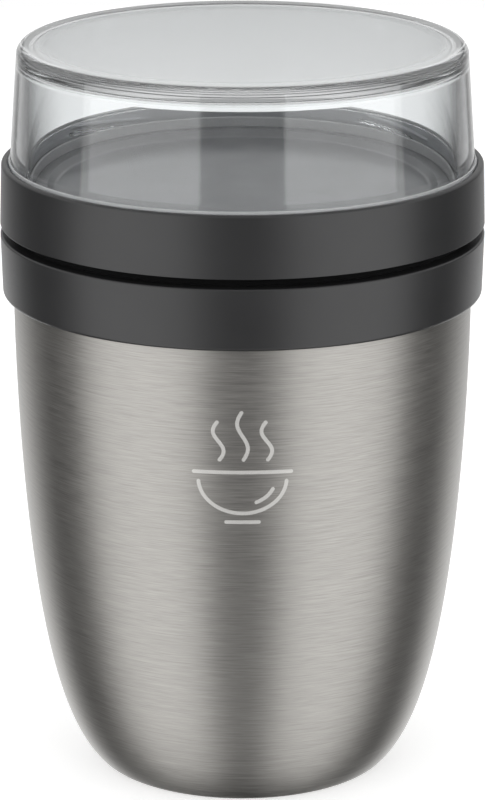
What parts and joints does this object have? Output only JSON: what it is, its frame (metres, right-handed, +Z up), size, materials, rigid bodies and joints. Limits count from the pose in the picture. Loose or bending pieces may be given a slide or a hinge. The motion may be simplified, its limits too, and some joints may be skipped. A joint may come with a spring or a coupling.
{
  "type": "insulated lunch pot",
  "caption": "Double-walled steel food pot with a tapering body, a dark screw lid that forms a shallow tray, and a clear cup screwed upside down on the lid.",
  "frame": {"origin": "on the table, under the pot's vertical axis", "axes": "+Z up along the axis of the pot, the lid and the cup; the picture looks along +Y"},
  "size_m": [0.1068, 0.1068, 0.1646],
  "materials": {
    "brushed_steel": "fine brushing round the body",
    "satin_steel": "satin, electropolished",
    "dark_plastic": "fine satin moulded texture",
    "clear_plastic": "clear, polished",
    "silicone": "matt",
    "foam": "open foam",
    "getter_metal": "sintered",
    "sealing_bead": "melted bead"
  },
  "bodies": {
    "pot": {"outer_shell": "brushed_steel", "inner_liner": "satin_steel", "outer_base": "satin_steel", "vacuum_bead": "sealing_bead", "base_disc": "brushed_steel", "getter": "getter_metal", "neck_collar": "dark_plastic", "collar_gasket": "silicone"},
    "pot_seal": {"pot_gasket": "silicone"},
    "lid": {"lid_shell": "dark_plastic", "lid_underplate": "dark_plastic", "insulation_disc": "foam"},
    "dome_seal": {"dome_gasket": "silicone"},
    "dome": {"clear_cup": "clear_plastic"}
  },
  "joints": [
    {"name": "lid_lift", "type": "slide", "parent": "pot", "child": "pot_seal", "axis": [0, 0, 1], "range_m": [0, 0.024]},
    {"name": "lid_turn", "type": "hinge", "parent": "pot_seal", "child": "lid", "pos_m": [0, 0, 0.1302], "axis": [0, 0, 1], "range_deg": [0, 360]},
    {"name": "dome_turn", "type": "hinge", "parent": "lid", "child": "dome_seal", "pos_m": [0, 0, 0.1329], "axis": [0, 0, 1], "range_deg": [0, 360]},
    {"name": "dome_lift", "type": "slide", "parent": "dome_seal", "child": "dome", "axis": [0, 0, 1], "range_m": [0, 0.024]}
  ],
  "couplings": [
    {"joint": "lid_lift", "follows": "lid_turn", "m_per_rad": 0.0038197},
    {"joint": "dome_lift", "follows": "dome_turn", "m_per_rad": 0.0038197}
  ]
}
